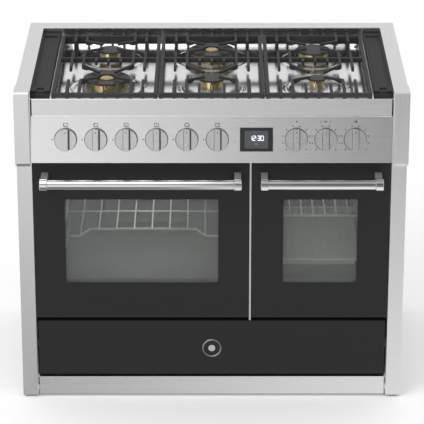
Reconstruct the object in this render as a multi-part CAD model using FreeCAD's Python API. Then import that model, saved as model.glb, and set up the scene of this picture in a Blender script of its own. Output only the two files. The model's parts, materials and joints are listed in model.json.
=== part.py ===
import FreeCAD
import Part
import math
import os

# Range cooker, all sizes in mm: X to the right, Z up, the feet stand on z = 0.
# While building, y is the distance behind the front face of the side columns.
# Each piece is moved to the common middle when it is written.

# overall width, depth behind the columns' face, reach of the handles in front of it
body_width = 1000.0
body_depth = 600.0
handle_reach = 76.0

# the front, stacked from the floor up
plinth_gap = 8.0
plinth_height = 50.0
plinth_return = 17.0
plinth_tongue = 40.0
drawer_gap = 4.0
drawer_height = 157.0
door_gap = 9.0
door_height = 432.0
panel_gap = 4.0
panel_height = 116.0
fascia_height = 46.0
upstand = 24.0

# sheet metal and fits
plate = 2.0
sheet = 1.5
running_fit = 0.05
side_gap = 3.0
strip_fit = 0.5
seal_fit = 0.3

# side frames and cheeks
cheek_proud = 2.5
cheek_forward = 16.0
cheek_inset = 3.0
cheek_bevel = 12.8
cheek_edge = 2.5
post_width = 38.5
post_depth = 45.0
post_lip = 14.0
post_back_lip = 7.0
strip_height = 38.0
foot_gap = 6.0
rail_leg = 20.0
rail_flange = 40.0
tray_level = 44.0
foot_inset = 50.0
foot_radius = 22.0
stem_radius = 5.0
nut_radius = 9.0
nut_height = 6.0
foot_height = 5.0
foot_sides = 16

# worktop
rear_rail_depth = 48.0
back_panel_inset = 30.0
louvre_rows = (180.0, 420.0, 640.0)
louvre_pitch = 60.0
louvre_half = 22.0
louvre_height = 6.0
terminal_shift = 60.0
fascia_set_back = 9.0
pan_depth = 26.0
pan_rim_side = 51.0
pan_rim_front = 10.0
pan_corner = 30.0
pan_floor_corner = 8.0
pan_back_gap = 2.0
cover_width = 47.0
cover_height = 12.0
cover_rim = 5.0
cover_dip = 3.0

# leaning control panel, knobs and taps, measured along the panel's own normal
panel_lean = 28.0
panel_forward = 18.0
panel_return = 30.0
gas_knob_margin = 85.0
oven_knob_margin = 92.0
oven_pitch_less = 2.25
display_to_gas_knob = 99.4
display_to_oven_knob = 101.1
display_width = 84.0
display_height = 61.0
bezel = 4.0
knob_radius = 28.5
knob_disc = 8.0
knob_lift = 5.0
knob_grip = 14.0
grip_width = 16.0
knob_wall = 5.0
spindle_radius = 4.0
push_travel = 4.0
panel_hole = 7.0
tap_radius = 11.0
tap_front = 12.0
tap_length = 44.0
tap_outlet = 8.0
switch_size = 40.0
switch_depth = 28.0
gas_rail_half = 8.0
gas_rail_rise = 22.0
supply_radius = 3.0
inlet_radius = 10.45
inlet_length = 20.0
inlet_bore = 6.0
inlet_inset = 19.0
feed_level_step = 13.0
feed_first_turn = 80.0
feed_turn_step = 12.0
feed_dip = 10.0

# burners: cap radius, x, distance behind the columns' face
front_burner_y = 174.0
rear_burner_y = 420.0
wok_radius = 61.0
rapid_radius = 47.0
medium_radius = 35.0
small_radius = 25.0
wok_hole = 28.0
wok_inner_cap = 18.0
cup_flange = 3.0
cup_drop = 38.0
cup_sides = 24
crown_height = 23.0
cap_height = 4.0
slot_width = 2.6
slot_pitch = 4.6
igniter_radius = 3.0
igniter_notch = 4.2

# cast iron pan supports
support_clear = 2.0
support_space = 4.0
rail_thick = 9.0
finger_thick = 7.0
grate_above_rim = 14.0
rail_tall = 12.0
rear_rail_tall = 22.0
tip_tall = 6.0
front_rail_y = 11.0
middle_rail_y = 308.0
rear_rail_y = 506.0
rear_stub_y = 543.0
tip_offset = 20.0
bend_x = 65.0
stub_x = 96.0
short_stub_x = 32.0
support_leg = 9.0
front_leg_y = 60.0
rear_leg_y = 470.0
front_stub_end = 128.0
middle_front_end = 229.0
middle_rear_end = 374.0
rear_stub_end = 462.0
rear_arm_end = 466.0
short_stub_end = 94.0
centre_stub_end = 42.0
middle_bend_y = 254.0
middle_spur_end = 282.0

# front frame, cavities and racks
frame_y = 42.0
cavity_depth = 426.0
cavity_corner = 12.0
cavity_flange = 10.0
cavity_up = 47.0
cavity_down = 55.0
main_cavity_margin = 54.0
small_cavity_margin = 58.5
insulation = 25.0
gasket_width = 9.0
post_gap = 5.0
shelf_gap = 10.0
rack_gap = 12.5
rod_radius = 3.0
ladder_post_radius = 3.6
cross_rod_radius = 2.4
wire_radius = 2.0
main_rack_up = 155.0
small_rack_up = 211.0
tray_rack_up = 88.0
main_spare_shelves = (70.0, 240.0, 285.0)
small_spare_shelves = (155.0, 270.0)
main_wire_pitch = 45.0
upper_wire_pitch = 30.0
lower_wire_pitch = 22.0
rack_step = 49.0
step_start = 45.0
step_end = 70.0
rack_front_gap = 26.0
rack_back_gap = 12.0
tray_lip = 14.0
tray_depth = 16.0
element_radius = 4.0
ring_stand = 18.0
fan_radius = 70.0
fan_cover_half = 112.0
fan_cover_stand = 38.0
motor_radius = 32.0
motor_length = 56.0

# doors
small_door_width = 353.5
divider_width = 5.5
shell_depth = 22.0
liner_depth = 18.0
liner_inset = 20.0
liner_lift = 34.0
shell_flange = 30.0
glass_thick = 4.0
glass_overlap = 12.0
window_up = 99.0
window_down = 102.0
main_window_margin = 79.0
small_window_margin = 81.5
window_corner = 5.0
handle_below_top = 40.0
handle_radius = 13.0
collar_radius = 16.0
collar_length = 20.0
bracket_step = 1.5
bracket_root = 12.0
bracket_nose = 9.0
main_handle_margin = 20.0
small_handle_margin = 21.5

# hinges
hinge_y = 14.0
hinge_rise = 14.0
hinge_inset = 40.0
bracket_thick = 5.0
bracket_eye = 8.0
pin_radius = 4.0
arm_gap = 0.5
arm_thick = 3.0

# drawer
drawer_side_gap = 6.0
drawer_front_depth = 20.0
drawer_bevel_rise = 12.0
drawer_bevel_back = 7.0
runner_standoff = 39.0
runner_play = 2.5
drawer_box_length = 420.0
drawer_box_up = 13.0
drawer_box_down = 34.0
slide_width = 12.0
slide_height = 19.0

# derived levels and positions
plinth_top = plinth_gap + plinth_height
drawer_bottom = plinth_top + drawer_gap
drawer_top = drawer_bottom + drawer_height
door_bottom = drawer_top + door_gap
door_top = door_bottom + door_height
panel_bottom = door_top + panel_gap
panel_top = panel_bottom + panel_height
rim_level = panel_top + fascia_height
body_top = rim_level + upstand
pan_floor = rim_level - pan_depth
grate_top = rim_level + grate_above_rim
centre_shift = (handle_reach - body_depth) / 2
frame_half = body_width / 2 - cheek_proud
inner_half = frame_half - post_width
door_half = inner_half - side_gap
rail_x = frame_half - 17.5
drawer_box_half = rail_x - runner_standoff - sheet - runner_play - slide_width
inlet_x = inner_half - inlet_inset
small_x0 = door_half - small_door_width
divider_x0 = small_x0 - strip_fit - divider_width
main_x1 = divider_x0 - strip_fit
main_door = (-door_half, main_x1)
small_door = (small_x0, door_half)
cavity_z0 = door_bottom + cavity_up
cavity_z1 = door_top - cavity_down
main_oven = (main_door[0] + main_cavity_margin, main_door[1] - main_cavity_margin)
small_oven = (small_door[0] + small_cavity_margin, small_door[1] - small_cavity_margin)
cavity_y0 = frame_y + plate
cavity_y1 = cavity_y0 + cavity_depth
fan_x = sum(main_oven) / 2
fan_z = (cavity_z0 + cavity_z1) / 2
rod_flat = rod_radius * math.cos(math.pi / 6)
main_rack_z = cavity_z0 + main_rack_up
small_rack_z = cavity_z0 + small_rack_up
tray_rack_z = cavity_z0 + tray_rack_up
hinge_z = door_bottom + hinge_rise
handle_y = collar_radius - handle_reach
panel_mid_z = (panel_bottom + panel_top) / 2
panel_mid_y = panel_lean / 2 - panel_forward
panel_angle = math.atan2(panel_lean, panel_height)
knob_run = 2 * door_half - gas_knob_margin - oven_knob_margin
pitch_run = knob_run - display_to_gas_knob - display_to_oven_knob
gas_knob_pitch = (pitch_run + 2 * oven_pitch_less) / 7
oven_knob_pitch = gas_knob_pitch - oven_pitch_less
gas_knob_first = gas_knob_margin - door_half
oven_knob_first = door_half - oven_knob_margin - 2 * oven_knob_pitch
display_x = oven_knob_first - display_to_oven_knob
gas_knobs = [gas_knob_first + i * gas_knob_pitch for i in range(6)]
oven_knobs = [oven_knob_first + i * oven_knob_pitch for i in range(3)]
knob_top = knob_lift + knob_disc + knob_grip
pan_half = inner_half - pan_rim_side
support_half = (pan_half - support_clear - support_space) / 3
support_pitch = 2 * support_half + support_space
pan_y0 = fascia_set_back + side_gap
pan_y1 = body_depth - rear_rail_depth - pan_back_gap
gas_rail_in = tap_front + tap_length - tap_radius
burners = [
    ("wok", wok_radius, -support_pitch, front_burner_y),
    ("plain", medium_radius, -support_pitch, rear_burner_y),
    ("plain", medium_radius, 0.0, front_burner_y),
    ("wok", wok_radius, 0.0, rear_burner_y),
    ("plain", small_radius, support_pitch, front_burner_y),
    ("plain", rapid_radius, support_pitch, rear_burner_y),
]

Vec = FreeCAD.Vector


def box(x0, x1, y0, y1, z0, z1):
    return Part.makeBox(x1 - x0, y1 - y0, z1 - z0, Vec(x0, y0, z0))


def rod(start, end, radius):
    a = Vec(*start)
    b = Vec(*end)
    return Part.makeCylinder(radius, (b - a).Length, a, b - a)


def wire(points, radius):
    # thin six-sided bar carried through the points, flats up and down where it runs level
    stops = [Vec(*p) for p in points]
    along = (stops[1] - stops[0]).normalize()
    side = along.cross(Vec(0, 0, 1))
    side = side.normalize() if side.Length > 0.01 else Vec(1, 0, 0)
    up = side.cross(along)
    corners = [stops[0] + side * x + up * y for x, y in hexagon(0, 0, radius)]
    ring = Part.makePolygon(corners + corners[:1])
    mitred = 1
    return Part.makePolygon(stops).makePipeShell([ring], True, False, mitred)


def hexagon(x, y, radius):
    return polygon(x, y, radius, 6)


def polygon(x, y, radius, sides):
    turns = [i * 2 * math.pi / sides for i in range(sides)]
    return [(x + radius * math.cos(a), y + radius * math.sin(a)) for a in turns]


def prism(points, direction):
    # flat outline of 3-D points pushed along a direction
    wire = Part.makePolygon([Vec(*p) for p in points] + [Vec(*points[0])])
    return Part.Face(wire).extrude(Vec(*direction))


def along_x(outline, x0, x1):
    # outline of (y, z) pairs
    return prism([(x0, y, z) for y, z in outline], (x1 - x0, 0, 0))


def along_y(outline, y0, y1):
    # outline of (x, z) pairs
    return prism([(x, y0, z) for x, z in outline], (0, y1 - y0, 0))


def along_z(outline, z0, z1):
    # outline of (x, y) pairs
    return prism([(x, y, z0) for x, y in outline], (0, 0, z1 - z0))


def turned(outline, x, y):
    # outline of (radius, z) pairs turned about an upright axis
    wire = Part.makePolygon([Vec(r, 0, z) for r, z in outline + outline[:1]])
    solid = Part.Face(wire).revolve(Vec(0, 0, 0), Vec(0, 0, 1), 360)
    solid.translate(Vec(x, y, 0))
    return solid


def soft_box(x0, x1, y0, y1, z0, z1, radius):
    # box whose four edges along y are rounded
    block = box(x0, x1, y0, y1, z0, z1)
    edges = [e for e in block.Edges if abs(e.tangentAt(e.FirstParameter).y) > 0.9]
    return block.makeFillet(radius, edges)


def pressed_pan(x0, x1, y0, y1, z0, z1, corner, floor_corner):
    # deep-drawn basin: rounded upright corners and a sloping floor edge
    block = box(x0, x1, y0, y1, z0, z1)
    upright = [e for e in block.Edges if abs(e.tangentAt(e.FirstParameter).z) > 0.9]
    block = block.makeFillet(corner, upright)
    floor = [e for e in block.Edges if e.BoundBox.ZMax < z0 + 0.01]
    return block.makeChamfer(floor_corner, floor)


def mirrored(shape):
    return shape.mirror(Vec(0, 0, 0), Vec(1, 0, 0))


def both_sides(shape):
    return [shape, mirrored(shape)]


def on_panel(shape, x):
    # a piece drawn with z along the panel's outward normal is set on the panel
    turn = FreeCAD.Rotation(Vec(1, 0, 0), 90 - math.degrees(panel_angle))
    placed = shape.copy()
    placed.Placement = FreeCAD.Placement(Vec(x, panel_mid_y, panel_mid_z), turn)
    return placed


def panel_point(x, up, out):
    # the same move for a single point
    y = panel_mid_y + up * math.sin(panel_angle) - out * math.cos(panel_angle)
    z = panel_mid_z + up * math.cos(panel_angle) + out * math.sin(panel_angle)
    return (x, y, z)


def export(name, shapes):
    # the handles' reach and the body's depth are centred on the common frame
    solids = shapes if isinstance(shapes, list) else [shapes]
    piece = solids[0] if len(solids) == 1 else Part.makeCompound(solids)
    piece = piece.copy()
    piece.translate(Vec(0, centre_shift, 0))
    piece.exportStep("parts/" + name + ".step")


def side_frame():
    # folded channel posts open to the inside, joined by a top strip and an angle rail
    x0 = inner_half
    x1 = frame_half
    channel = [
        (x1, 0), (x0, 0), (x0, post_lip), (x0 + plate, post_lip), (x0 + plate, plate),
        (x1 - plate, plate), (x1 - plate, post_depth - plate), (x0 + plate, post_depth - plate),
        (x0 + plate, post_depth - post_back_lip), (x0, post_depth - post_back_lip),
        (x0, post_depth), (x1, post_depth),
    ]
    front_post = along_z(channel, foot_gap, body_top)
    rear_post = front_post.mirror(Vec(0, body_depth / 2, 0), Vec(0, 1, 0))
    z0 = body_top - strip_height
    strip = [
        (x0, z0), (x0, body_top), (x1, body_top), (x1, z0), (x1 - plate, z0),
        (x1 - plate, body_top - plate), (x0 + plate, body_top - plate), (x0 + plate, z0),
    ]
    top_strip = along_y(strip, post_depth, body_depth - post_depth)
    top_plate = box(x0, x1, 0, body_depth, body_top - plate, body_top)
    angle = [
        (rail_x, tray_level), (rail_x - rail_flange, tray_level),
        (rail_x - rail_flange, tray_level - plate), (rail_x - plate, tray_level - plate),
        (rail_x - plate, tray_level - rail_leg), (rail_x, tray_level - rail_leg),
    ]
    rail = along_y(angle, post_depth, body_depth - post_depth)
    frame = front_post.fuse([rear_post, top_strip, top_plate, rail])
    for x, y in foot_places(1):
        frame = frame.cut(rod((x, y, 0), (x, y, tray_level + 1), stem_radius + running_fit))
    return frame.removeSplitter()


def foot_places(side):
    x = side * (body_width / 2 - foot_inset)
    return [(x, post_depth + foot_inset), (x, body_depth - post_depth - foot_inset)]


def feet():
    solids = []
    for x, y in foot_places(-1) + foot_places(1):
        disc = along_z(polygon(x, y, foot_radius, foot_sides), 0, foot_height)
        stem = rod((x, y, 0), (x, y, tray_level), stem_radius)
        nut_z = tray_level - plate - nut_height
        nut = along_z(hexagon(x, y, nut_radius), nut_z, nut_z + nut_height)
        solids.append(disc.fuse([stem, nut]))
    return solids


def side_panel():
    return box(rail_x, rail_x + sheet, post_depth, body_depth - post_depth,
               tray_level - rail_leg, body_top - plate)


def cheek():
    # hollow cap in front of the column, with a skin round its outer side
    x0 = inner_half + cheek_inset
    x1 = body_width / 2
    front = -cheek_forward
    low = panel_bottom - side_gap
    outline = [
        (0, low - cheek_bevel), (front, low), (front, body_top - cheek_edge),
        (front + cheek_edge, body_top), (0, body_top),
    ]
    block = along_x(outline, x0, x1)
    hollow = box(x0 + plate, x1 - plate, front + plate, 0, low + plate, body_top - plate)
    skin = box(frame_half, x1, 0, post_depth, low, body_top)
    return block.cut(hollow).fuse(skin).removeSplitter()


def rear_rail():
    y0 = body_depth - rear_rail_depth
    z0 = body_top - strip_height
    rail = box(-inner_half, inner_half, y0, body_depth, z0, body_top)
    hollow = box(-inner_half + plate, inner_half - plate, y0 + plate, body_depth - plate,
                 z0 - 1, body_top - plate)
    top_edges = [e for e in rail.Edges if e.BoundBox.ZMin > body_top - 0.01
                 and e.BoundBox.XLength > 1]
    return rail.makeFillet(1.5, top_edges).cut(hollow)


def back_panel():
    # shallow tray with louvre slots, a hole for the gas inlet and one for the cable
    y0 = body_depth - back_panel_inset
    z0 = tray_level + plate
    z1 = body_top - strip_height
    wall = box(-inner_half, inner_half, y0, y0 + sheet, z0, z1)
    flange = box(inner_half - sheet, inner_half, y0, body_depth - post_lip + 4, z0, z1)
    panel = wall.fuse(both_sides(flange))
    slots = []
    for row_z in louvre_rows:
        for i in range(-4, 5):
            x = i * louvre_pitch
            slots.append(box(x - louvre_half, x + louvre_half, y0 - 1, y0 + 2 * sheet,
                             row_z, row_z + louvre_height))
    for x, z, r in ((inlet_x, gas_rail_place()[2], gas_rail_half + side_gap),
                    (terminal_shift - inlet_x, gas_rail_place()[2], 8)):
        slots.append(rod((x, y0 - 1, z), (x, y0 + 2 * sheet, z), r))
    return panel.cut(slots)


def base_tray():
    return box(-rail_x + plate, rail_x - plate, post_depth + 1, body_depth - post_depth - 1,
               tray_level, tray_level + plate)


def plinth():
    y0 = side_gap
    x1 = inner_half - cheek_inset - plate
    wall = box(-x1, x1, y0, y0 + plate, plinth_gap, plinth_top)
    y1 = y0 + plinth_return
    top = box(-x1, x1, y0, y1, plinth_top - plate, plinth_top)
    bottom = box(-x1, x1, y0, y1, plinth_gap, plinth_gap + plate)
    tongue_x = rail_x - rail_flange - plate
    tongue_y = post_depth + plinth_tongue
    tongue = box(-tongue_x, tongue_x, y0, tongue_y, tray_level - plate, tray_level)
    return wall.fuse([top, bottom, tongue]).removeSplitter()


def hinge_places(door):
    return [door[0] + hinge_inset, door[1] - hinge_inset]


def opening(oven, grow=0.0):
    # x and z limits of an oven's mouth
    return (oven[0] - grow, oven[1] + grow, cavity_z0 - grow, cavity_z1 + grow)


def front_frame():
    sheet_front = box(-inner_half, inner_half, frame_y, frame_y + plate,
                      door_bottom - 4, panel_bottom)
    for oven in (main_oven, small_oven):
        x0, x1, z0, z1 = opening(oven)
        mouth = soft_box(x0, x1, frame_y - 1, frame_y + plate + 1, z0, z1, cavity_corner)
        sheet_front = sheet_front.cut(mouth)
    solids = [sheet_front]
    for door in (main_door, small_door):
        for x in hinge_places(door):
            solids.append(hinge_bracket(x))
    return solids


def hinge_bracket(x):
    # upright blade with an eye, standing on a foot plate
    half = bracket_thick / 2
    eye = rod((x - half, hinge_y, hinge_z), (x + half, hinge_y, hinge_z), bracket_eye)
    blade = box(x - half, x + half, hinge_y, frame_y - plate / 2,
                hinge_z - bracket_eye + 1, hinge_z + bracket_eye - 1)
    foot = box(x - 10, x + 10, frame_y - plate, frame_y, door_bottom - 2, hinge_z + 16)
    bore = rod((x - half - 1, hinge_y, hinge_z), (x + half + 1, hinge_y, hinge_z),
               pin_radius + running_fit)
    return eye.fuse([blade, foot]).cut(bore).removeSplitter()


def divider_strip():
    strip = box(divider_x0, divider_x0 + divider_width, 0, frame_y,
                drawer_top + plate, panel_bottom)
    edges = [e for e in strip.Edges if e.BoundBox.YMax < 0.01 and e.BoundBox.ZLength > 1]
    return strip.makeFillet(1.0, edges)


def fascia_strip():
    # folded apron in front of the hob; its ledge carries the pan's rim
    y0 = fascia_set_back
    ledge = pan_y0 + pan_rim_front - sheet - strip_fit
    outline = [
        (y0, panel_top), (panel_return, panel_top), (panel_return, panel_top + plate),
        (y0 + plate, panel_top + plate), (y0 + plate, rim_level - 2 * plate),
        (ledge, rim_level - 2 * plate), (ledge, rim_level - plate),
        (y0 + plate, rim_level - plate), (y0 + plate, rim_level),
        (y0 + 0.8, rim_level), (y0, rim_level - 0.8),
    ]
    return along_x(outline, -door_half, door_half)


def panel_line(z, inward):
    # distance behind the columns of the leaning face, moved inward by a thickness
    rise = (z - panel_bottom) * panel_lean / panel_height
    return rise - panel_forward + inward / math.cos(panel_angle)


def control_panel():
    z0 = panel_bottom
    z1 = panel_top
    x1 = inner_half - strip_fit
    skin = [
        (panel_line(z1, 0), z1), (panel_return, z1), (panel_return, z1 - plate),
        (panel_line(z1 - plate, plate), z1 - plate),
        (panel_line(z0 + plate, plate), z0 + plate), (frame_y + 6, z0 + plate),
        (frame_y + 6, z0), (panel_line(z0, 0), z0),
    ]
    end = [(panel_line(z1, 0), z1), (panel_return, z1), (panel_return, z0),
           (panel_line(z0, 0), z0)]
    panel = along_x(skin, -x1, x1)
    panel = panel.fuse(both_sides(along_x(end, x1 - plate, x1))).removeSplitter()
    hole = Part.makeCylinder(panel_hole, 20, Vec(0, 0, -10))
    window = box(-display_width / 2, display_width / 2, -display_height / 2,
                 display_height / 2, -10, 10)
    cutters = [on_panel(hole, x) for x in gas_knobs + oven_knobs]
    return panel.cut(cutters + [on_panel(window, display_x)])


def turned_knob():
    # bevelled disc with a raised grip bar and a blind bore for the spindle
    top = knob_lift + knob_disc
    edge = 1.5
    disc = turned([(0, knob_lift), (knob_radius, knob_lift), (knob_radius, top - edge),
                   (knob_radius - edge, top), (0, top)], 0, 0)
    half = grip_width / 2
    bar = along_y([(-half, top - 1), (half, top - 1), (half, knob_top - edge),
                   (half - edge, knob_top), (-half + edge, knob_top), (-half, knob_top - edge)],
                  -knob_radius, knob_radius)
    bar = bar.common(Part.makeCylinder(knob_radius - 0.5, knob_top, Vec(0, 0, 0)))
    bore = Part.makeCylinder(spindle_radius + running_fit, knob_top - knob_wall)
    return disc.fuse(bar).cut(bore).removeSplitter()


def tap_spindle():
    end = -(tap_front + tap_length - push_travel - 2)
    length = knob_top - knob_wall - 1 - end
    stem = Part.makeCylinder(spindle_radius, length, Vec(0, 0, end))
    return stem


def gas_rail_place():
    return panel_point(0, gas_rail_rise, -gas_rail_in)


def gas_tap():
    # six-sided brass tap under the gas rail, with a nut, a neck to the rail and an outlet
    back = -tap_front - tap_length
    body = along_z(hexagon(0, 0, tap_radius), back, -tap_front)
    nut = along_z(hexagon(0, 0, tap_radius + 4), -tap_front - 4, -tap_front)
    neck = box(-tap_outlet, tap_outlet, 0, gas_rail_rise - gas_rail_half,
               -gas_rail_in - gas_rail_half, -gas_rail_in + gas_rail_half)
    outlet = along_z(hexagon(0, 0, supply_radius + 2), back - tap_outlet, back + 1)
    bore = Part.makeCylinder(spindle_radius + running_fit, tap_length - 1, Vec(0, 0, back + 1))
    return body.fuse([nut, neck, outlet]).cut(bore).removeSplitter()


def oven_controls():
    # programmer in the window and three rotary switches behind the panel
    w = display_width / 2
    h = display_height / 2
    face = box(-w, w, -h, h, -22, 1.0)
    dish = box(-w + bezel, w - bezel, -h + bezel, h - bezel, 0.2, 3)
    inside = w - sheet
    body = box(-inside, inside, -h + sheet, h - sheet, -30, -22)
    solids = [on_panel(face.cut(dish).fuse(body), display_x)]
    half = switch_size / 2
    for x in oven_knobs:
        case = box(-half, half, -half, half, -plate - switch_depth, -plate)
        stem = Part.makeCylinder(spindle_radius, knob_top - knob_wall - 1 + plate,
                                 Vec(0, 0, -plate))
        solids.append(on_panel(case.fuse(stem), x))
    return solids


def hob_pan():
    # rim plate with a deep-drawn basin and one hole for each burner
    basin_y0 = pan_y0 + pan_rim_front
    basin_y1 = pan_y1 - pan_rim_front
    rim = box(-inner_half, inner_half, pan_y0, pan_y1, rim_level - plate, rim_level)
    outer = pressed_pan(-pan_half - sheet, pan_half + sheet, basin_y0 - sheet,
                        basin_y1 + sheet, pan_floor - sheet, rim_level,
                        pan_corner, pan_floor_corner + sheet)
    inner = pressed_pan(-pan_half, pan_half, basin_y0, basin_y1, pan_floor, rim_level + 1,
                        pan_corner - sheet, pan_floor_corner)
    pan = rim.fuse(outer).cut(inner)
    holes = [rod((x, y, pan_floor - 9), (x, y, pan_floor + 9), cup_body(radius) + 1)
             for kind, radius, x, y in burners]
    return pan.cut(holes).removeSplitter()


def cup_body(radius):
    return radius - 10


def side_cover():
    # raised rim round a dished field, a low step at the front
    x0 = inner_half - cover_width
    y0 = pan_y0 + 12
    y1 = pan_y1 - 4
    cover = box(x0, inner_half, y0, y1, rim_level, rim_level + cover_height)
    field = box(x0 + cover_rim, inner_half - cover_rim, y0 + 52, y1 - 30,
                rim_level + cover_height - cover_dip, rim_level + cover_height + 1)
    step = box(x0 - 1, inner_half + 1, y0 - 1, y0 + 14,
               rim_level + cover_height / 2, rim_level + cover_height + 1)
    notch = box(x0 + 14, inner_half - 14, y0 + 13, y0 + 40,
                rim_level + cover_height - cover_dip, rim_level + cover_height + 1)
    return cover.cut([field, step, notch])


def grate_bar(a, b, width, z0, z1):
    # straight bar between two plan points
    dx = b[0] - a[0]
    dy = b[1] - a[1]
    length = math.hypot(dx, dy)
    nx = -dy / length * width / 2
    ny = dx / length * width / 2
    corners = [(a[0] + nx, a[1] + ny), (b[0] + nx, b[1] + ny),
               (b[0] - nx, b[1] - ny), (a[0] - nx, a[1] - ny)]
    return along_z(corners, z0, z1)


def finger(a, b, low):
    # slanting arm whose underside rises towards its tip
    bar = grate_bar(a, b, finger_thick, low, grate_top)
    dx = b[0] - a[0]
    dy = b[1] - a[1]
    length = math.hypot(dx, dy)
    ux = dx / length
    uy = dy / length
    side = (-uy * 9, ux * 9)
    clear_z = grate_top - tip_tall
    start = (a[0] + side[0], a[1] + side[1])
    under = []
    for s, z in ((length * 0.15, low - 1), (length * 0.45, clear_z), (length + 9, clear_z),
                 (length + 9, low - 1)):
        under.append((start[0] + ux * s, start[1] + uy * s, z))
    return bar.cut(prism(under, (-2 * side[0], -2 * side[1], 0)))


def stub(x, y0, y1, low):
    return grate_bar((x, y0), (x, y1), finger_thick, low, grate_top)


def knee(x, y, low):
    # fills the corner where a stub turns into a slanting arm
    return along_z(hexagon(x, y, finger_thick / 2), low, grate_top)


def pan_support(x):
    # one casting: rails, straight stubs and four arms over each burner, on four legs
    low = grate_top - rail_tall
    half = support_half
    t = rail_thick
    front = front_rail_y + t / 2
    middle = middle_rail_y + t / 2
    rear = rear_rail_y + t / 2
    bars = []
    for s in (-1, 1):
        edge = x + s * (half - t / 2)
        bars.append(grate_bar((edge, front_rail_y), (edge, rear_rail_y + t), t, low, grate_top))
    for y in (front, middle):
        bars.append(grate_bar((x - half, y), (x + half, y), t, low, grate_top))
    bars.append(grate_bar((x - half, rear), (x + half, rear), t,
                          grate_top - rear_rail_tall, grate_top))
    for s in (-1, 1):
        for y0, y1 in ((front, front_stub_end), (middle, middle_front_end),
                       (middle, middle_rear_end), (rear, rear_stub_end)):
            bars.append(stub(x + s * stub_x, y0, y1, low))
        bars.append(stub(x + s * short_stub_x, front, short_stub_end, low))
        for dx in (stub_x, bend_x, short_stub_x):
            bars.append(stub(x + s * dx, rear, rear_stub_y, low))
        bend = x + s * bend_x
        tip = x + s * tip_offset
        for y0, y1, tip_y in ((front, front_stub_end, front_burner_y - tip_offset),
                              (middle, middle_bend_y, front_burner_y + tip_offset),
                              (middle, middle_rear_end, rear_burner_y - tip_offset),
                              (rear, rear_arm_end, rear_burner_y + tip_offset)):
            bars.append(stub(bend, y0, y1, low))
            bars.append(knee(bend, y1, low))
            bars.append(finger((bend, y1), (tip, tip_y), low))
        bars.append(stub(x + s * short_stub_x, middle, middle_spur_end, low))
        leg_x = x + s * stub_x - support_leg / 2
        for y in (front_leg_y, rear_leg_y):
            bars.append(box(leg_x, leg_x + support_leg, y, y + support_leg, pan_floor,
                            grate_top - plate))
    bars.append(stub(x, front, centre_stub_end, low))
    bars.append(stub(x, middle, middle_spur_end, low))
    bars.append(stub(x, rear, rear_stub_y, low))
    return bars[0].fuse(bars[1:]).removeSplitter()


def burner_cups():
    # pressed cup under each burner, its flange on the pan floor, and the spark pin
    solids = []
    z0 = pan_floor - cup_drop
    z1 = pan_floor + cup_flange
    for kind, radius, x, y in burners:
        body = cup_body(radius)
        cup = along_z(polygon(x, y, body, cup_sides), z0, z1)
        flange = along_z(polygon(x, y, radius - 2, cup_sides), pan_floor, z1)
        hollow = along_z(polygon(x, y, body - 4, cup_sides), z0 + 4, z1 + 1)
        cup = cup.fuse(flange).cut(hollow).removeSplitter()
        pin_y = y - radius + 7
        pin = rod((x, pin_y, z1), (x, pin_y, z1 + crown_height - 6), igniter_radius)
        solids.append(cup)
        solids.append(pin)
    return solids


def slot_count(radius):
    return int(radius / slot_pitch)


def crown_slots(radius, inner, x, y, z0, z1, count):
    # upright flame slots spread round the crown, leaving the spark pin's place
    cutters = []
    for i in range(count):
        turn = 360.0 * (i + 0.5) / count
        slot = box(inner, radius + 4, -slot_width / 2, slot_width / 2, z0, z1)
        slot.rotate(Vec(0, 0, 0), Vec(0, 0, 1), turn)
        slot.translate(Vec(x, y, 0))
        cutters.append(slot)
    return cutters


def burner_crowns():
    # turned brass flame heads; the two wide ones have a second small head inside
    solids = []
    z0 = pan_floor + cup_flange
    z1 = z0 + crown_height
    for kind, radius, x, y in burners:
        notch = rod((x, y - radius + 7, z0 - 1), (x, y - radius + 7, z1 + 1), igniter_notch)
        top_r = radius - 3
        if kind == "wok":
            low_r = radius - 6
            inner_r = wok_inner_cap - 3
            crown = turned([(inner_r - 8, z0), (low_r, z0), (top_r, z1), (radius - 12, z1),
                            (radius - 14, z0 + 4), (inner_r, z0 + 4), (inner_r, z1 - 3),
                            (inner_r - 8, z1 - 3)], x, y)
            slots = crown_slots(top_r, radius - 15, x, y, z0 + 9, z1 + 1, slot_count(radius))
            inner_cap = turned([(0, z1 - 3), (inner_r + 1, z1 - 3), (wok_inner_cap, z1),
                                (wok_inner_cap, z1 + 2), (wok_inner_cap - 3, z1 + 4),
                                (0, z1 + 4)], x, y)
            solids.append(crown.cut(slots + [notch]))
            solids.append(inner_cap)
        else:
            low_r = radius - 8
            core = cup_body(radius) - 5
            crown = turned([(core, z0), (low_r, z0), (low_r + 1, z0 + 8), (top_r, z1),
                            (core, z1)], x, y)
            slots = crown_slots(top_r, core - 1, x, y, z1 - 7, z1 + 1, slot_count(radius))
            solids.append(crown.cut(slots + [notch]))
    return solids


def burner_caps():
    solids = []
    z0 = pan_floor + cup_flange + crown_height
    z1 = z0 + cap_height
    for kind, radius, x, y in burners:
        edge = 1.5
        outline = [(radius, z0), (radius, z1 - edge), (radius - 2 * edge, z1)]
        if kind == "wok":
            outline += [(wok_hole + edge, z1), (wok_hole, z1 - edge), (wok_hole, z0)]
        else:
            outline += [(0, z1 + 0.8), (0, z0)]
        solids.append(turned(outline, x, y))
    return solids


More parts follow.
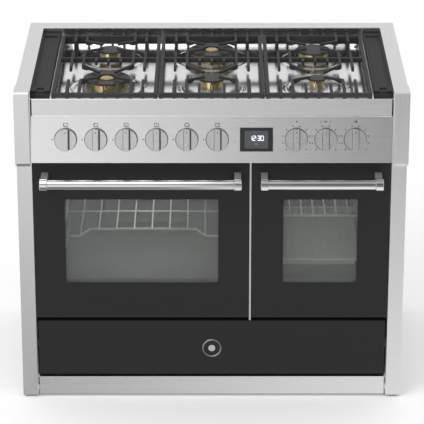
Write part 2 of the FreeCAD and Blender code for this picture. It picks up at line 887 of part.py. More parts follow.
def gas_manifold():
    # square rail across the front, inlet line to the back, and six feeds on three levels
    h = gas_rail_half
    rail = on_panel(box(-inner_half, inner_half, gas_rail_rise - h, gas_rail_rise + h,
                        -gas_rail_in - h, -gas_rail_in + h), 0)
    _, rail_y, rail_z = gas_rail_place()
    back = body_depth - back_panel_inset + sheet
    line = wire([(inlet_x, rail_y, rail_z), (inlet_x, back + 4, rail_z)], h)
    end = body_depth - 2
    collar = along_y(hexagon(inlet_x, rail_z, inlet_radius + 4.5), back, end - inlet_length)
    nipple = rod((inlet_x, back + 1, rail_z), (inlet_x, end, rail_z), inlet_radius)
    bore = rod((inlet_x, back, rail_z), (inlet_x, end + 1, rail_z), inlet_bore)
    solids = [rail.fuse([line, collar, nipple]).cut(bore)]
    outlet = tap_front + tap_length + tap_outlet
    for i, (kind, radius, x, y) in enumerate(burners):
        tap_x = gas_knobs[i]
        start = panel_point(tap_x, 0, -outlet)
        dip = panel_point(tap_x, 0, -outlet - feed_dip)
        first = dip[2]
        second = first + feed_level_step
        third = second + feed_level_step
        turn_y = feed_first_turn + feed_turn_step * i
        run_x = x - 10 if y < middle_rail_y else x + 10
        solids.append(wire([start, dip, (tap_x, turn_y, first), (tap_x, turn_y, second),
                            (run_x, turn_y, second), (run_x, turn_y, third),
                            (run_x, y, third), (run_x, y, pan_floor - cup_drop)],
                           supply_radius))
    return solids


def cavity(oven, fan):
    # enamelled box with a flange round its mouth
    x0, x1, z0, z1 = opening(oven)
    g = sheet
    shell = soft_box(x0 - g, x1 + g, cavity_y0, cavity_y1 + g, z0 - g, z1 + g,
                     cavity_corner + g)
    f = cavity_flange
    shell = shell.fuse(box(x0 - f, x1 + f, cavity_y0, cavity_y0 + g, z0 - f, z1 + f))
    shell = shell.cut(soft_box(x0, x1, cavity_y0 - 1, cavity_y1, z0, z1, cavity_corner))
    if fan:
        hole = rod((fan_x, cavity_y1 - 1, fan_z), (fan_x, cavity_y1 + g + 1, fan_z), 8)
        shell = shell.cut(hole)
    return shell.removeSplitter()


def insulation_wrap(oven, fan):
    x0, x1, z0, z1 = opening(oven, sheet)
    g = insulation
    y0 = cavity_y0 + sheet
    y1 = cavity_y1 + sheet
    wrap = box(x0 - g, x1 + g, y0, y1 + g, z0 - g, z1 + g)
    wrap = wrap.cut(soft_box(x0, x1, y0 - 1, y1, z0, z1, cavity_corner + sheet))
    if fan:
        wrap = wrap.cut(rod((fan_x, y1 - 1, fan_z), (fan_x, y1 + g + 1, fan_z), motor_radius + 6))
    return wrap


def gasket(oven):
    x0, x1, z0, z1 = opening(oven, gasket_width + 4)
    y0 = shell_depth + liner_depth + seal_fit
    ring = soft_box(x0, x1, y0, frame_y, z0, z1, cavity_corner + gasket_width)
    x0, x1, z0, z1 = opening(oven, 4)
    return ring.cut(soft_box(x0, x1, y0 - 1, frame_y + 1, z0, z1, cavity_corner))


def wire_rack(x0, x1, y0, y1, z, pitch, step):
    # frame of thick wire with thin wires laid across it; the front rail may step back
    front = [(x0, y1, z), (x0, y0, z), (x1, y0, z), (x1, y1, z)]
    if step:
        front[2:2] = [(x0 + step_start, y0, z), (x0 + step_end, y0 + step, z),
                      (x1 - step_end, y0 + step, z), (x1 - step_start, y0, z)]
    pieces = [wire(front, rod_radius)]
    for y in ((y0 + y1) / 2, y1 - 2 * rod_radius):
        pieces.append(wire([(x0, y, z), (x1, y, z)], cross_rod_radius))
    count = int((x1 - x0) / pitch)
    for i in range(1, count):
        x = x0 + (x1 - x0) * i / count
        start = y0 + step if step and x0 + step_end < x < x1 - step_end else y0
        pieces.append(wire([(x, start, z + wire_radius), (x, y1, z + wire_radius)],
                           wire_radius))
    return pieces[0].fuse(pieces[1:])


def oven_racks():
    g = rack_gap
    y0 = cavity_y0 + rack_front_gap
    y1 = cavity_y1 - rack_back_gap
    cover_y = cavity_y1 - fan_cover_stand
    main = wire_rack(main_oven[0] + g, main_oven[1] - g, y0, cover_y - 2 * rod_radius,
                     main_rack_z, main_wire_pitch, rack_step)
    upper = wire_rack(small_oven[0] + g, small_oven[1] - g, y0, y1, small_rack_z,
                      upper_wire_pitch, 0)
    lower = wire_rack(small_oven[0] + g, small_oven[1] - g, y0, y1, tray_rack_z,
                      lower_wire_pitch, 0)
    return [main, upper, lower, oven_tray(y0, y1)]


def oven_tray(y0, y1):
    # shallow tray whose rim lies between the lower rack and its shelf rods
    rim_z = tray_rack_z - rod_flat
    x0 = small_oven[0] + rack_gap - rod_radius
    x1 = small_oven[1] - rack_gap + rod_radius
    rim = box(x0, x1, y0, y1, rim_z - sheet, rim_z)
    low = rim_z - tray_depth
    n = tray_lip
    body = box(x0 + n, x1 - n, y0 + n, y1 - n, low, rim_z)
    n = tray_lip + sheet
    dish = box(x0 + n, x1 - n, y0 + n, y1 - n, low + sheet, rim_z + 1)
    return rim.fuse(body).cut(dish)


def rack_ladders():
    # chromed side ladders: two posts pegged to the wall and a rod under each shelf
    solids = []
    main_levels = [main_rack_z] + [cavity_z0 + up for up in main_spare_shelves]
    small_levels = [small_rack_z, tray_rack_z - sheet] + [cavity_z0 + up
                                                          for up in small_spare_shelves]
    for oven, levels in ((main_oven, main_levels), (small_oven, small_levels)):
        for wall, s in ((oven[0], 1), (oven[1], -1)):
            x = wall + s * post_gap
            pieces = []
            for y in (cavity_y0 + 46, cavity_y1 - 40):
                pieces.append(wire([(x, y, cavity_z0 + 20), (x, y, cavity_z1 - 20)],
                                   ladder_post_radius))
                for z in (cavity_z0 + 30, cavity_z1 - 30):
                    pieces.append(wire([(wall, y, z), (x, y, z)], cross_rod_radius))
            x = wall + s * shelf_gap
            for level in levels:
                z = level - 2 * rod_flat
                pieces.append(wire([(x, cavity_y0 + 20, z), (x, cavity_y1 - 14, z)],
                                   rod_radius))
            solids.append(pieces[0].fuse(pieces[1:]))
    return solids


def heating_elements():
    # two hoops under each oven's roof and an open ring round the fan
    solids = []
    for oven, margin in ((main_oven, 60), (small_oven, 36)):
        z = cavity_z1 - 4 * element_radius
        x0 = oven[0] + margin
        x1 = oven[1] - margin
        for inset in (0, 46):
            y = cavity_y0 + 70 + inset
            solids.append(wire([(x0 + inset, cavity_y1, z), (x0 + inset, y, z),
                                (x1 - inset, y, z), (x1 - inset, cavity_y1, z)],
                               element_radius))
    ring_radius = fan_radius + 4 * element_radius
    half_gap = 8
    y = cavity_y1 - ring_stand
    ring = []
    for i in range(13):
        turn = math.radians(90 + half_gap + i * (180 - half_gap) / 6)
        ring.append((fan_x + ring_radius * math.cos(turn), y,
                     fan_z + ring_radius * math.sin(turn)))
    tails = [(x, cavity_y1, z) for x, _, z in (ring[0], ring[-1])]
    solids.append(wire([tails[0]] + ring + [tails[1]], element_radius))
    return solids


def oven_fan():
    # hub with a back disc and eight straight blades on a shaft
    y0 = cavity_y1 - 26
    y1 = cavity_y1 - 8
    disc = rod((fan_x, y1 - 1.5, fan_z), (fan_x, y1, fan_z), fan_radius)
    hub = rod((fan_x, y0, fan_z), (fan_x, y1, fan_z), 12)
    shaft = rod((fan_x, y0, fan_z), (fan_x, cavity_y1 + sheet + motor_length - 20, fan_z),
                spindle_radius)
    blades = []
    for i in range(8):
        blade = box(fan_x + 10, fan_x + fan_radius - 2, y0, y1, fan_z - 1, fan_z + 1)
        blade.rotate(Vec(fan_x, 0, fan_z), Vec(0, 1, 0), 45 * i)
        blades.append(blade)
    return disc.fuse([hub, shaft] + blades)


def fan_housing():
    # slotted cover on four posts inside, motor on the outside of the back wall
    y0 = cavity_y1 - fan_cover_stand
    h = fan_cover_half
    cover = soft_box(fan_x - h, fan_x + h, y0, y0 + plate, fan_z - h, fan_z + h, 14)
    slots = []
    for i in range(7):
        z = fan_z - 48 + 16 * i
        half = math.sqrt(max(60.0 ** 2 - (z - fan_z) ** 2, 100))
        slots.append(box(fan_x - half, fan_x + half, y0 - 1, y0 + plate + 1, z - 4, z + 4))
    posts = [wire([(fan_x + a * (h - 10), y0, fan_z + b * (h - 10)),
                   (fan_x + a * (h - 10), cavity_y1, fan_z + b * (h - 10))], 4)
             for a in (-1, 1) for b in (-1, 1)]
    back = cavity_y1 + sheet
    motor = rod((fan_x, back, fan_z), (fan_x, back + motor_length, fan_z), motor_radius)
    bore = rod((fan_x, back - 1, fan_z), (fan_x, back + motor_length - 18, fan_z),
               spindle_radius + running_fit)
    return [cover.cut(slots).fuse(posts), motor.cut(bore)]


def door_panel(door, window_margin):
    # folded shell: front face, four sides and a return flange, with the window opening
    x0, x1 = door
    z0 = door_bottom
    z1 = door_top
    outer = box(x0, x1, 0, shell_depth, z0, z1)
    front_edges = [e for e in outer.Edges if e.BoundBox.YMax < 0.01]
    outer = outer.makeFillet(1.2, front_edges)
    hollow = box(x0 + sheet, x1 - sheet, plate, shell_depth - sheet, z0 + sheet, z1 - sheet)
    f = shell_flange
    back = box(x0 + f, x1 - f, shell_depth - sheet - 1, shell_depth + 1,
               z0 + liner_lift + 10, z1 - f)
    wx0, wx1, wz0, wz1 = window(door, window_margin, 0)
    opening_cut = soft_box(wx0, wx1, -1, plate + 1, wz0, wz1, window_corner)
    slot = bracket_thick / 2 + 2
    slots = [box(x - slot, x + slot, 5, shell_depth + 1, z0 - 1, hinge_z + 12)
             for x in hinge_places(door)]
    return outer.cut([hollow, back, opening_cut] + slots)


def window(door, margin, grow):
    return (door[0] + margin - grow, door[1] - margin + grow,
            door_bottom + window_up - grow, door_top - window_down + grow)


def door_glass(door, margin):
    x0, x1, z0, z1 = window(door, margin, glass_overlap)
    inner_face = shell_depth + liner_depth - sheet
    return [box(x0, x1, plate, plate + glass_thick, z0, z1),
            box(x0, x1, inner_face - glass_thick, inner_face, z0, z1)]


def door_liner(door, margin):
    # pressed inner pan with a window, two hinge arms and pins
    x0 = door[0] + liner_inset
    x1 = door[1] - liner_inset
    z0 = door_bottom + liner_lift
    z1 = door_top - liner_inset
    y0 = shell_depth
    y1 = shell_depth + liner_depth
    liner = soft_box(x0, x1, y0, y1, z0, z1, 10)
    liner = liner.cut(soft_box(x0 + sheet, x1 - sheet, y0 - 1, y1 - sheet, z0 + sheet,
                               z1 - sheet, 10 - sheet))
    wx0, wx1, wz0, wz1 = window(door, margin, 4)
    liner = liner.cut(soft_box(wx0, wx1, y0, y1 + 1, wz0, wz1, window_corner))
    arms = []
    near = bracket_thick / 2 + arm_gap
    far = near + arm_thick
    flange_y = shell_depth - sheet - 0.2
    above = door_bottom + liner_lift + 11
    outline = [(hinge_y - 10, hinge_z - 10), (flange_y, hinge_z - 10), (flange_y, above),
               (y1 - sheet / 2, above), (y1 - sheet / 2, above + 22), (12, above + 22),
               (hinge_y - 10, above - 3)]
    for x in hinge_places(door):
        arms.append(along_x(outline, x - far, x - near))
        arms.append(along_x(outline, x + near, x + far))
        arms.append(rod((x - far, hinge_y, hinge_z), (x + far, hinge_y, hinge_z), pin_radius))
    return liner.fuse(arms).removeSplitter()


def door_handle(door, margin):
    # round bar between two collars, each on a flat bracket from the door's face
    x0 = door[0] + margin
    x1 = door[1] - margin
    z = door_top - handle_below_top
    pieces = [rod((x0 + 2, handle_y, z), (x1 - 2, handle_y, z), handle_radius)]
    for start, end in ((x0, x0 + collar_length), (x1 - collar_length, x1)):
        collar = rod((start, handle_y, z), (end, handle_y, z), collar_radius)
        ends = [e for e in collar.Edges if abs(e.BoundBox.XLength) < 0.01]
        pieces.append(collar.makeChamfer(1.2, ends))
        outline = [(0, z - bracket_root), (0, z + bracket_root), (handle_y, z + bracket_nose),
                   (handle_y, z - bracket_nose)]
        pieces.append(along_x(outline, start + bracket_step, end - bracket_step))
    return pieces[0].fuse(pieces[1:]).removeSplitter()


def drawer_front():
    # folded front with a bevelled lower edge, its back plate open in the middle
    x1 = inner_half - drawer_side_gap
    d = drawer_front_depth
    b = drawer_bevel_back
    z0 = drawer_bottom
    z1 = drawer_top
    outline = [(0, z1), (d, z1), (d, z0), (b, z0), (0, z0 + drawer_bevel_rise)]
    front = along_x(outline, -x1, x1)
    g = sheet
    inner = [(g, z1 - g), (d - g, z1 - g), (d - g, z0 + g), (b + g, z0 + g),
             (g, z0 + drawer_bevel_rise + g)]
    front = front.cut(along_x(inner, -x1 + g, x1 - g))
    return front.cut(box(-drawer_box_half + 30, drawer_box_half - 30, d - 2 * g, d + 1,
                         z0 + drawer_box_up + 15, z1 - drawer_box_down - 15))


def drawer_box():
    # open tray with a slide along each side
    x1 = drawer_box_half
    y0 = drawer_front_depth
    y1 = y0 + drawer_box_length
    z0 = drawer_bottom + drawer_box_up
    z1 = drawer_top - drawer_box_down
    tray = box(-x1, x1, y0, y1, z0, z1)
    tray = tray.cut(box(-x1 + sheet, x1 - sheet, y0 + sheet, y1 - sheet, z0 + sheet, z1 + 1))
    mid = (z0 + z1) / 2
    slide = box(x1, x1 + slide_width, y0 + 10, y1, mid - slide_height / 2,
                mid + slide_height / 2)
    return tray.fuse(both_sides(slide)).removeSplitter()


def drawer_runner():
    # channel round the drawer's slide, carried by two brackets from the side panel
    x0 = drawer_box_half + 3
    x1 = drawer_box_half + slide_width + runner_play
    mid = (drawer_bottom + drawer_box_up + drawer_top - drawer_box_down) / 2
    h = slide_height / 2 + running_fit
    g = sheet
    outline = [
        (x0, mid - h), (x0, mid - h - g), (x1 + g, mid - h - g), (x1 + g, mid + h + g),
        (x0, mid + h + g), (x0, mid + h), (x1, mid + h), (x1, mid - h),
    ]
    y0 = post_depth + 1
    y1 = drawer_front_depth + drawer_box_length + 60
    channel = along_y(outline, y0, y1)
    brackets = [box(x1 + g, rail_x, y, y + 20, mid - h - g, mid + h + g)
                for y in (y0 + 14, y1 - 40)]
    return channel.fuse(brackets).removeSplitter()


def terminal_box():
    y0 = body_depth - back_panel_inset + sheet
    z = gas_rail_place()[2]
    x = terminal_shift - inlet_x
    case = box(x - 42, x + 42, y0, y0 + 20, z - 30, z + 30)
    gland = rod((x, y0 + 10, z - 48), (x, y0 + 10, z - 30), 8)
    return case.fuse(gland)


def build():
    os.makedirs("parts", exist_ok=True)
    frame = side_frame()
    export("side_frame_right", frame)
    export("side_frame_left", mirrored(frame))
    export("side_panels", both_sides(side_panel()))
    export("cheeks", both_sides(cheek()))
    export("rear_rail", rear_rail())
    export("back_panel", back_panel())
    export("base_tray", base_tray())
    export("front_frame", front_frame())
    export("divider_strip", divider_strip())
    export("plinth", plinth())
    export("feet", feet())
    export("fascia_strip", fascia_strip())
    export("control_panel", control_panel())
    export("oven_controls", oven_controls())
    tap = gas_tap()
    spindle = tap_spindle()
    knob = turned_knob()
    export("gas_taps", [on_panel(tap, x) for x in gas_knobs])
    for i, x in enumerate(gas_knobs):
        export("gas_knob_" + str(i + 1), on_panel(knob, x))
        export("tap_spindle_" + str(i + 1), on_panel(spindle, x))
    for i, x in enumerate(oven_knobs):
        export("oven_knob_" + str(i + 1), on_panel(knob, x))
    export("hob_pan", hob_pan())
    export("hob_side_covers", both_sides(side_cover()))
    export("pan_support_left", pan_support(-support_pitch))
    export("pan_support_centre", pan_support(0))
    export("pan_support_right", pan_support(support_pitch))
    export("burner_cups", burner_cups())
    export("burner_crowns", burner_crowns())
    export("burner_caps", burner_caps())
    export("gas_manifold", gas_manifold())
    export("main_cavity", cavity(main_oven, True))
    export("small_cavity", cavity(small_oven, False))
    export("insulation_wrap", [insulation_wrap(main_oven, True),
                               insulation_wrap(small_oven, False)])
    export("door_gaskets", [gasket(main_oven), gasket(small_oven)])
    export("oven_racks", oven_racks())
    export("rack_ladders", rack_ladders())
    export("heating_elements", heating_elements())
    export("oven_fan", oven_fan())
    export("fan_housing", fan_housing())
    for name, door, window_margin, handle_margin in (
            ("main_door", main_door, main_window_margin, main_handle_margin),
            ("small_door", small_door, small_window_margin, small_handle_margin)):
        export(name + "_panel", door_panel(door, window_margin))
        export(name + "_glass", door_glass(door, window_margin))
        export(name + "_liner", door_liner(door, window_margin))
        export(name + "_handle", door_handle(door, handle_margin))
    export("drawer_front", drawer_front())
    export("drawer_box", drawer_box())
    export("drawer_runners", both_sides(drawer_runner()))
    export("terminal_box", terminal_box())


build()
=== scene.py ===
import json
import math

import bmesh
import bpy
import numpy as np
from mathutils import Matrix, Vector


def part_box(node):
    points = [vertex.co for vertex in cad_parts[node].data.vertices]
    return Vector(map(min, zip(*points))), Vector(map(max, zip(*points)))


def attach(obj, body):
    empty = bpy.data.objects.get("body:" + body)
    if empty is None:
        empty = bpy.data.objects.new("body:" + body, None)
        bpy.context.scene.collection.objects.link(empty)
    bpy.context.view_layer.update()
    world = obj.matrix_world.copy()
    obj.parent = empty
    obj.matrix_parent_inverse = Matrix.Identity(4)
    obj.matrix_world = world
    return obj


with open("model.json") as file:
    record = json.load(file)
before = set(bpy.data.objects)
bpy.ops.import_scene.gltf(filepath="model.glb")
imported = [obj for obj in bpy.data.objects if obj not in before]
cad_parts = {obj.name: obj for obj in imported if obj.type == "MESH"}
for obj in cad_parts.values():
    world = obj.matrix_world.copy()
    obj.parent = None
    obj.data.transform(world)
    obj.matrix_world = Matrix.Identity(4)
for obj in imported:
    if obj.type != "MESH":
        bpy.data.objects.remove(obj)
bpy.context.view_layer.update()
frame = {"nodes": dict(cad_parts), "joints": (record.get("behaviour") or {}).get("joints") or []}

nodes = frame["nodes"]
joints = {j["name"]: j for j in frame["joints"]}
print("frame loaded:", len(nodes), "nodes")


cameraSetup = {
    "across": 0.0006,
    "distance": 5.801,      # in front of the side columns' face
    "columnFace": -0.262,
    "height": 2.762,
    "pitchDown": 21.1,
    "lens": 205.6,
    "sensor": 36.0,
    "farthest": 60,
}


def placeCamera(setup):
    cam = bpy.data.cameras.new("photoCamera")
    cam.sensor_width = setup["sensor"]
    cam.lens = setup["lens"]
    cam.clip_end = setup["farthest"]
    camObject = bpy.data.objects.new("photoCamera", cam)
    bpy.context.scene.collection.objects.link(camObject)
    camObject.location = (setup["across"], setup["columnFace"] - setup["distance"],
                          setup["height"])
    camObject.rotation_euler = (math.radians(90 - setup["pitchDown"]), 0, 0)
    bpy.context.scene.camera = camObject


placeCamera(cameraSetup)


# small helpers for node trees, used by the world and by every finish

def feed(tree, socket, value):
    # a socket is linked, anything else is set as a fixed value
    if isinstance(value, bpy.types.NodeSocket):
        tree.links.new(value, socket)
    else:
        socket.default_value = value


def mapRange(tree, source, fromMin, fromMax, toMin, toMax):
    node = tree.nodes.new("ShaderNodeMapRange")
    values = (fromMin, fromMax, toMin, toMax)
    for socket, value in zip(("From Min", "From Max", "To Min", "To Max"), values):
        node.inputs[socket].default_value = value
    tree.links.new(source, node.inputs["Value"])
    return node.outputs["Result"]


def mixColour(tree, factor, first, second, blend="MIX"):
    node = tree.nodes.new("ShaderNodeMix")
    node.data_type = "RGBA"
    node.blend_type = blend
    for slot, value in ((0, factor), (6, first), (7, second)):    # the colour slots
        feed(tree, node.inputs[slot], value)
    return node.outputs[2]


def combine(tree, operation, *values):
    node = tree.nodes.new("ShaderNodeMath")
    node.operation = operation
    for socket, value in zip(node.inputs, values):
        feed(tree, socket, value)
    return node.outputs[0]


def mixShader(tree, factor, first, second):
    node = tree.nodes.new("ShaderNodeMixShader")
    for socket, value in zip(node.inputs, (factor, first, second)):
        feed(tree, socket, value)
    return node.outputs[0]


def newMaterial(name, settings):
    # a principled surface whose plain values sit on its own sockets
    mat = bpy.data.materials.new(name)
    mat.use_nodes = True
    bsdf = mat.node_tree.nodes["Principled BSDF"]
    for socket, value in settings.items():
        bsdf.inputs[socket].default_value = value
    return mat, mat.node_tree, bsdf


# light and floor

studio = {
    "ambient": 1.0,                       # light on matt surfaces
    "wallTurn": 0.0030,                   # how fast the mirrored wall turns from bright to grey
    "wallMiddle": -0.365,                 # height of the direction about which it turns
    "brightWall": (1.16, 1.16, 1.16),
    "greyWall": (0.27, 0.272, 0.275),
    "darkSide": 0.50,                     # share of light mirrored from the far right
    "darkSideSpan": (0.22, 0.5),          # where it fades, along X
    "paleSide": 0.62,                     # and from the far left
    "paleSideSpan": (-0.4, -0.16),
    "overhead": 0.82,                     # mirrored from above and behind
    "zenith": 0.22,                       # and from high above
    "zenithSpan": (0.5, 0.75),            # between these heights
    "backSpan": (-0.1, 0.1),              # front gives way to back, along Y
    "cameraBand": (0.28, 0.31, 0.50, 0.53),   # dark strip that the bars mirror
    "bandShade": 0.05,
    "softBox": (0.76, 0.84, 1.9),         # bright patch high in front: start, full, strength
    "keyPower": 70.0,
    "keySize": 3.0,
    "keyPlace": (-2.6, -3.0, 3.6),
    "fillPower": 18.0,
    "fillPlace": (3.4, -2.6, 2.4),
    "aim": (0, 0, 0.45),
    "ovenGlow": {"main_cavity": 0.60, "small_cavity": 0.13},
    "glowSize": 0.16,
    "glowDrop": 0.035,                    # below the ceiling of each oven
    "floorSize": 16.0,
    "floorColour": (0.95, 0.95, 0.95, 1),
    "floorRough": 0.9,
}


def mirroredWall(tree, split, setup):
    # wall in front: bright to grey with the product of X and (Z - wallMiddle), then dimmed
    # to the far right and the far left
    raised = combine(tree, "SUBTRACT", split.outputs["Z"], setup["wallMiddle"])
    turned = combine(tree, "MULTIPLY", split.outputs["X"], raised)
    turn = setup["wallTurn"]
    wall = mixColour(tree, mapRange(tree, turned, -turn, turn, 0, 1),
                     (*setup["brightWall"], 1), (*setup["greyWall"], 1))
    right = mapRange(tree, split.outputs["X"], *setup["darkSideSpan"], 1, setup["darkSide"])
    wall = mixColour(tree, 1.0, wall, right, "MULTIPLY")
    left = mapRange(tree, split.outputs["X"], *setup["paleSideSpan"], setup["paleSide"], 1)
    return mixColour(tree, 1.0, wall, left, "MULTIPLY")


def heightShades(tree, split, setup):
    # grey by height: white, the dark strip, white again, and the soft box at the top
    strip = tree.nodes.new("ShaderNodeValToRGB")
    ramp = strip.color_ramp
    start, full, strength = setup["softBox"]
    shades = (1, setup["bandShade"], setup["bandShade"], 1)
    stops = [*zip(setup["cameraBand"], shades), (start, 1), (full, strength)]
    ramp.elements[0].color = (1, 1, 1, 1)
    ramp.elements[1].color = (strength, strength, strength, 1)
    for place, shade in stops:
        ramp.elements.new(place).color = (shade, shade, shade, 1)
    tree.links.new(split.outputs["Z"], strip.inputs["Fac"])
    return strip.outputs["Color"]


def lightWorld(setup):
    # white to the camera, plain light on matt surfaces, and a room for metal to mirror
    world = bpy.data.worlds.new("studio")
    bpy.context.scene.world = world
    world.use_nodes = True
    tree = world.node_tree
    tree.nodes.clear()
    out = tree.nodes.new("ShaderNodeOutputWorld")
    path = tree.nodes.new("ShaderNodeLightPath")
    plain, mirror, white = [tree.nodes.new("ShaderNodeBackground") for _ in range(3)]
    plain.inputs["Strength"].default_value = setup["ambient"]
    plain.inputs["Color"].default_value = (1, 1, 1, 1)
    white.inputs["Color"].default_value = (1, 1, 1, 1)
    coords = tree.nodes.new("ShaderNodeTexCoord")
    split = tree.nodes.new("ShaderNodeSeparateXYZ")
    tree.links.new(coords.outputs["Generated"], split.inputs[0])
    front = mixColour(tree, 1.0, mirroredWall(tree, split, setup),
                      heightShades(tree, split, setup), "MULTIPLY")
    over = mapRange(tree, split.outputs["Z"], *setup["zenithSpan"], setup["overhead"],
                    setup["zenith"])
    behind = mapRange(tree, split.outputs["Y"], *setup["backSpan"], 0, 1)
    tree.links.new(mixColour(tree, behind, front, over), mirror.inputs["Color"])
    mirrored = mixShader(tree, path.outputs["Is Glossy Ray"], plain.outputs[0],
                         mirror.outputs[0])
    seen = mixShader(tree, path.outputs["Is Camera Ray"], mirrored, white.outputs[0])
    tree.links.new(seen, out.inputs[0])


def addLamp(name, power, size, place, aim):
    lamp = bpy.data.lights.new(name, "AREA")
    lamp.energy = power
    lamp.size = size
    lampObject = bpy.data.objects.new(name, lamp)
    lampObject.location = place
    turn = (Vector(aim) - Vector(place)).to_track_quat("-Z", "Y")
    lampObject.rotation_euler = turn.to_euler()
    bpy.context.scene.collection.objects.link(lampObject)


def layFloor(setup):
    half = setup["floorSize"] / 2
    mesh = bpy.data.meshes.new("studioFloor")
    mesh.from_pydata([(-half, -half, 0), (half, -half, 0), (half, half, 0), (-half, half, 0)],
                     [], [(0, 1, 2, 3)])
    floor = bpy.data.objects.new("studioFloor", mesh)
    bpy.context.scene.collection.objects.link(floor)
    mat = newMaterial("paleFloor", {"Base Color": setup["floorColour"],
                                    "Roughness": setup["floorRough"],
                                    "Specular IOR Level": 0.0})[0]
    mesh.materials.append(mat)
    floor.visible_glossy = False


lightWorld(studio)
addLamp("keyLight", studio["keyPower"], studio["keySize"], studio["keyPlace"], studio["aim"])
addLamp("fillLight", studio["fillPower"], studio["keySize"], studio["fillPlace"], studio["aim"])
for cavity in ("main_cavity", "small_cavity"):
    low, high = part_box(cavity)
    glowPlace = ((low.x + high.x) / 2, (low.y + high.y) / 2, high.z - studio["glowDrop"])
    floorPlace = (glowPlace[0], glowPlace[1], low.z)
    addLamp(cavity + "Glow", studio["ovenGlow"][cavity], studio["glowSize"], glowPlace,
            floorPlace)
layFloor(studio)
bpy.context.scene.view_settings.view_transform = "Standard"
print("camera, light and floor ready")


# finishes

grainSetup = {
    "detail": 4.0,
    "cloudDetail": 2.0,
    "cloudSpan": (0.35, 0.75),      # the part of the coarse noise that shows as mottling
    "bumpDepth": 0.0002,
}

handleSetup = {
    "satinFrom": -0.306,      # back of the bar, in metres along Y
    "satinFull": -0.300,
    "satinMetal": 0.35,
    "satinShade": 0.30,
    "satinRough": 0.30,
}


def colourOf(value):
    # one number is a grey
    return (value,) * 3 + (1,) if isinstance(value, float) else (*value, 1)


def makeFinish(name, stretch, colours, rough, bump, sockets=None, mottle=None):
    # noise stretched along one direction drives colour, roughness and a fine bump, and a
    # coarse noise may mottle the colour
    mat, tree, bsdf = newMaterial(name, sockets or {})
    coords = tree.nodes.new("ShaderNodeTexCoord")
    mapping = tree.nodes.new("ShaderNodeMapping")
    mapping.inputs["Scale"].default_value = stretch
    noise = tree.nodes.new("ShaderNodeTexNoise")
    noise.inputs["Scale"].default_value = 1.0
    noise.inputs["Detail"].default_value = grainSetup["detail"]
    tree.links.new(coords.outputs["Object"], mapping.inputs["Vector"])
    tree.links.new(mapping.outputs["Vector"], noise.inputs["Vector"])
    grain = noise.outputs["Fac"]
    colour = mixColour(tree, grain, colourOf(colours[0]), colourOf(colours[1]))
    if mottle:
        size, shade, amount = mottle
        cloud = tree.nodes.new("ShaderNodeTexNoise")
        cloud.inputs["Scale"].default_value = size
        cloud.inputs["Detail"].default_value = grainSetup["cloudDetail"]
        tree.links.new(coords.outputs["Object"], cloud.inputs["Vector"])
        share = mapRange(tree, cloud.outputs["Fac"], *grainSetup["cloudSpan"], 0, amount)
        colour = mixColour(tree, share, colour, colourOf(shade))
    tree.links.new(colour, bsdf.inputs["Base Color"])
    tree.links.new(mapRange(tree, grain, 0, 1, *rough), bsdf.inputs["Roughness"])
    if bump:
        relief = tree.nodes.new("ShaderNodeBump")
        relief.inputs["Strength"].default_value = bump
        relief.inputs["Distance"].default_value = grainSetup["bumpDepth"]
        tree.links.new(grain, relief.inputs["Height"])
        tree.links.new(relief.outputs["Normal"], bsdf.inputs["Normal"])
    return mat


def turnSatin(mat, setup):
    # the polished bar in front turns to satin grey on the brackets behind it, along Y
    tree = mat.node_tree
    bsdf = tree.nodes["Principled BSDF"]
    coords = tree.nodes.new("ShaderNodeTexCoord")
    split = tree.nodes.new("ShaderNodeSeparateXYZ")
    tree.links.new(coords.outputs["Object"], split.inputs[0])
    satin = mapRange(tree, split.outputs["Y"], setup["satinFrom"], setup["satinFull"], 0, 1)
    metal = mapRange(tree, satin, 0, 1, 1, setup["satinMetal"])
    tree.links.new(metal, bsdf.inputs["Metallic"])
    colour = bsdf.inputs["Base Color"].links[0].from_socket
    shade = mixColour(tree, satin, colour, colourOf(setup["satinShade"]))
    tree.links.new(shade, bsdf.inputs["Base Color"])
    fine = bsdf.inputs["Roughness"].links[0].from_socket
    soft = combine(tree, "MULTIPLY_ADD", satin, setup["satinRough"], fine)
    tree.links.new(soft, bsdf.inputs["Roughness"])


def steel(stretch, dark, light, rough, bump=0.25):
    return {"stretch": stretch, "colours": (dark, light), "rough": rough, "bump": bump,
            "sockets": {"Metallic": 1.0}}


